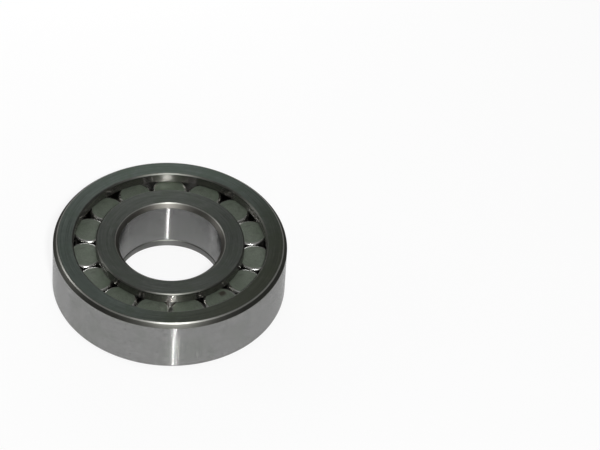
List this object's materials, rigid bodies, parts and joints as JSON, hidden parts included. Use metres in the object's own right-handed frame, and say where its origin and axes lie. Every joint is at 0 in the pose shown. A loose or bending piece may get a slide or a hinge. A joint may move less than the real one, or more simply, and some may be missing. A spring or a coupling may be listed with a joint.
{
  "type": "cylindrical roller bearing",
  "caption": "Cylindrical roller bearing for a rotating shaft: a full complement of rollers between a ribbed outer ring and an inner ring with a loose flange ring.",
  "frame": {"origin": "centre of the lower side face, on the bearing's axis, where the bearing rests on a flat surface", "axes": "+Z along the bearing's axis, from the side with the loose flange ring to the side with the inner ring's own rib; +Y towards roller_01"},
  "size_m": [0.08, 0.08, 0.021],
  "materials": {
    "outer_ring_steel": "ground hardened steel with a thin film of oil",
    "inner_ring_steel": "ground hardened steel with a thin film of oil",
    "loose_flange_ring_steel": "ground hardened steel with a thin film of oil",
    "roller_steel": "superfinished rolling surface, ground ends, thin film of oil"
  },
  "bodies": {
    "outer_ring": {"outer_ring": "outer_ring_steel"},
    "loose_flange_ring": {"loose_flange_ring": "loose_flange_ring_steel"},
    "inner_ring": {"inner_ring": "inner_ring_steel"},
    "roller_01": {"roller_01": "roller_steel"},
    "roller_02": {"roller_02": "roller_steel"},
    "roller_03": {"roller_03": "roller_steel"},
    "roller_04": {"roller_04": "roller_steel"},
    "roller_05": {"roller_05": "roller_steel"},
    "roller_06": {"roller_06": "roller_steel"},
    "roller_07": {"roller_07": "roller_steel"},
    "roller_08": {"roller_08": "roller_steel"},
    "roller_09": {"roller_09": "roller_steel"},
    "roller_10": {"roller_10": "roller_steel"},
    "roller_11": {"roller_11": "roller_steel"},
    "roller_12": {"roller_12": "roller_steel"},
    "roller_13": {"roller_13": "roller_steel"},
    "roller_14": {"roller_14": "roller_steel"},
    "roller_15": {"roller_15": "roller_steel"}
  },
  "joints": [
    {"name": "inner_ring_spin", "type": "hinge", "parent": "outer_ring", "child": "loose_flange_ring", "pos_m": [0, 0, 0.0105], "axis": [0, 0, 1], "continuous": true},
    {"name": "inner_ring_lift_out", "type": "slide", "parent": "loose_flange_ring", "child": "inner_ring", "axis": [0, 0, 1], "range_m": [0, 0.025]},
    {"name": "roller_set_orbit", "type": "hinge", "parent": "outer_ring", "child": "roller_01", "pos_m": [0, 0, 0.0105], "axis": [0, 0, 1], "continuous": true},
    {"name": "roller_02_spin", "type": "hinge", "parent": "roller_01", "child": "roller_02", "pos_m": [-0.01184, 0.02658, 0.0105], "axis": [0, 0, 1], "continuous": true},
    {"name": "roller_03_spin", "type": "hinge", "parent": "roller_01", "child": "roller_03", "pos_m": [-0.02163, 0.01947, 0.0105], "axis": [0, 0, 1], "continuous": true},
    {"name": "roller_04_spin", "type": "hinge", "parent": "roller_01", "child": "roller_04", "pos_m": [-0.02768, 0.00899, 0.0105], "axis": [0, 0, 1], "continuous": true},
    {"name": "roller_05_spin", "type": "hinge", "parent": "roller_01", "child": "roller_05", "pos_m": [-0.02894, -0.00304, 0.0105], "axis": [0, 0, 1], "continuous": true},
    {"name": "roller_06_spin", "type": "hinge", "parent": "roller_01", "child": "roller_06", "pos_m": [-0.0252, -0.01455, 0.0105], "axis": [0, 0, 1], "continuous": true},
    {"name": "roller_07_spin", "type": "hinge", "parent": "roller_01", "child": "roller_07", "pos_m": [-0.0171, -0.02354, 0.0105], "axis": [0, 0, 1], "continuous": true},
    {"name": "roller_08_spin", "type": "hinge", "parent": "roller_01", "child": "roller_08", "pos_m": [-0.00605, -0.02846, 0.0105], "axis": [0, 0, 1], "continuous": true},
    {"name": "roller_09_spin", "type": "hinge", "parent": "roller_01", "child": "roller_09", "pos_m": [0.00605, -0.02846, 0.0105], "axis": [0, 0, 1], "continuous": true},
    {"name": "roller_10_spin", "type": "hinge", "parent": "roller_01", "child": "roller_10", "pos_m": [0.0171, -0.02354, 0.0105], "axis": [0, 0, 1], "continuous": true},
    {"name": "roller_11_spin", "type": "hinge", "parent": "roller_01", "child": "roller_11", "pos_m": [0.0252, -0.01455, 0.0105], "axis": [0, 0, 1], "continuous": true},
    {"name": "roller_12_spin", "type": "hinge", "parent": "roller_01", "child": "roller_12", "pos_m": [0.02894, -0.00304, 0.0105], "axis": [0, 0, 1], "continuous": true},
    {"name": "roller_13_spin", "type": "hinge", "parent": "roller_01", "child": "roller_13", "pos_m": [0.02768, 0.00899, 0.0105], "axis": [0, 0, 1], "continuous": true},
    {"name": "roller_14_spin", "type": "hinge", "parent": "roller_01", "child": "roller_14", "pos_m": [0.02163, 0.01947, 0.0105], "axis": [0, 0, 1], "continuous": true},
    {"name": "roller_15_spin", "type": "hinge", "parent": "roller_01", "child": "roller_15", "pos_m": [0.01184, 0.02658, 0.0105], "axis": [0, 0, 1], "continuous": true}
  ],
  "couplings": [
    {"joint": "roller_set_orbit", "follows": "inner_ring_spin", "ratio": 0.39669},
    {"joint": "roller_02_spin", "follows": "inner_ring_spin", "ratio": -2.3214},
    {"joint": "roller_03_spin", "follows": "inner_ring_spin", "ratio": -2.3214},
    {"joint": "roller_04_spin", "follows": "inner_ring_spin", "ratio": -2.3214},
    {"joint": "roller_05_spin", "follows": "inner_ring_spin", "ratio": -2.3214},
    {"joint": "roller_06_spin", "follows": "inner_ring_spin", "ratio": -2.3214},
    {"joint": "roller_07_spin", "follows": "inner_ring_spin", "ratio": -2.3214},
    {"joint": "roller_08_spin", "follows": "inner_ring_spin", "ratio": -2.3214},
    {"joint": "roller_09_spin", "follows": "inner_ring_spin", "ratio": -2.3214},
    {"joint": "roller_10_spin", "follows": "inner_ring_spin", "ratio": -2.3214},
    {"joint": "roller_11_spin", "follows": "inner_ring_spin", "ratio": -2.3214},
    {"joint": "roller_12_spin", "follows": "inner_ring_spin", "ratio": -2.3214},
    {"joint": "roller_13_spin", "follows": "inner_ring_spin", "ratio": -2.3214},
    {"joint": "roller_14_spin", "follows": "inner_ring_spin", "ratio": -2.3214},
    {"joint": "roller_15_spin", "follows": "inner_ring_spin", "ratio": -2.3214}
  ]
}
